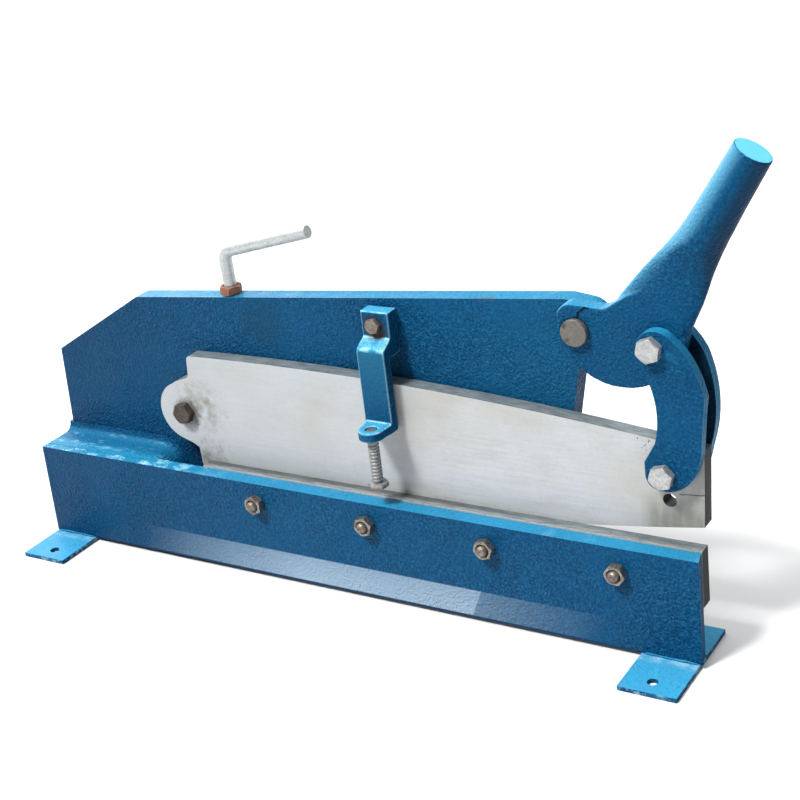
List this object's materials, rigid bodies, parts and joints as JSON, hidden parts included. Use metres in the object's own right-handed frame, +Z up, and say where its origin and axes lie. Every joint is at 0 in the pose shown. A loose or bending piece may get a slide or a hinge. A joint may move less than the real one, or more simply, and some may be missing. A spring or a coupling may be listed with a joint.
{
  "type": "hand lever bench shear",
  "caption": "Hand-lever bench shear for sheet metal: beam with fixed blade, pivoted upper blade, linked lever stub, hold-down screw and bench feet.",
  "frame": {"origin": "on the bench, under the middle of the machine's bounding box", "axes": "+X along the blades from the pivot end to the lever end, +Y from the operator's side to the rear, +Z up"},
  "size_m": [0.7386, 0.1269, 0.4225],
  "materials": {
    "blue_enamel": "blue hammer-textured gloss enamel over cast and flame-cut steel",
    "ground_blade_steel": "ground off-white tool steel with faint streaks and brown stains",
    "grey_bolt_steel": "dull grey steel with a brown tint",
    "brown_grey_steel": "dark brown-grey steel, lightly rusted",
    "bright_zinc": "bright zinc plate",
    "rusted_steel": "rusted steel",
    "bearing_bronze": "plain turned bronze"
  },
  "bodies": {
    "base": {"front_beam": "blue_enamel", "web_block": "blue_enamel", "upright_plate": "blue_enamel", "left_foot": "blue_enamel", "right_foot": "blue_enamel", "lower_blade": "ground_blade_steel", "clamp_bolt_1": "grey_bolt_steel", "clamp_bolt_2": "grey_bolt_steel", "clamp_bolt_3": "grey_bolt_steel", "clamp_bolt_4": "grey_bolt_steel", "clamp_nut_1": "grey_bolt_steel", "clamp_nut_2": "grey_bolt_steel", "clamp_nut_3": "grey_bolt_steel", "clamp_nut_4": "grey_bolt_steel", "blade_pivot_bolt": "brown_grey_steel", "blade_pivot_washer": "brown_grey_steel", "blade_pivot_nut": "brown_grey_steel", "lever_pin": "brown_grey_steel", "lever_pin_washer": "brown_grey_steel", "lever_split_pin": "brown_grey_steel", "hold_down_bracket": "blue_enamel", "bracket_bolt": "rusted_steel", "bracket_nut": "rusted_steel"},
    "lever_arm": {"lever": "blue_enamel", "lever_pin_bush": "bearing_bronze"},
    "links": {"front_link": "blue_enamel", "rear_link": "blue_enamel", "upper_link_bolt": "bright_zinc", "upper_link_washer": "bright_zinc", "upper_link_nut": "bright_zinc", "lower_link_bolt": "bright_zinc", "lower_link_washer": "bright_zinc", "lower_link_nut": "bright_zinc"},
    "moving_blade": {"upper_blade": "ground_blade_steel", "blade_pivot_bush": "bearing_bronze"},
    "hold_down": {"hold_down_screw": "bright_zinc"},
    "locking_screw": {"lock_screw": "bright_zinc"},
    "locking_nut": {"lock_screw_nut": "rusted_steel"}
  },
  "joints": [
    {"name": "lever_pivot", "type": "hinge", "parent": "base", "child": "lever_arm", "pos_m": [0.212, 0.02125, 0.2675], "axis": [0, -1, 0], "range_deg": [-15, 30]},
    {"name": "link_swing", "type": "hinge", "parent": "lever_arm", "child": "links", "pos_m": [0.278, 0.02125, 0.2645], "axis": [0, -1, 0], "range_deg": [-29.4, 14.8]},
    {"name": "blade_pivot", "type": "hinge", "parent": "base", "child": "moving_blade", "pos_m": [-0.1975, 0.02125, 0.1455], "axis": [0, -1, 0], "range_deg": [-2.1, 4.2]},
    {"name": "hold_down_travel", "type": "slide", "parent": "base", "child": "hold_down", "axis": [0, 0, 1], "range_m": [0, 0.038]},
    {"name": "lock_screw_turn", "type": "hinge", "parent": "base", "child": "locking_screw", "pos_m": [-0.1402, 0.03885, 0.2588], "axis": [0, 0, 1], "continuous": true},
    {"name": "lock_nut_turn", "type": "hinge", "parent": "base", "child": "locking_nut", "pos_m": [-0.1402, 0.03885, 0.263], "axis": [0, 0, 1], "continuous": true}
  ],
  "couplings": [
    {"joint": "link_swing", "follows": "lever_pivot", "ratio": -0.975},
    {"joint": "blade_pivot", "follows": "lever_pivot", "ratio": 0.1355}
  ]
}
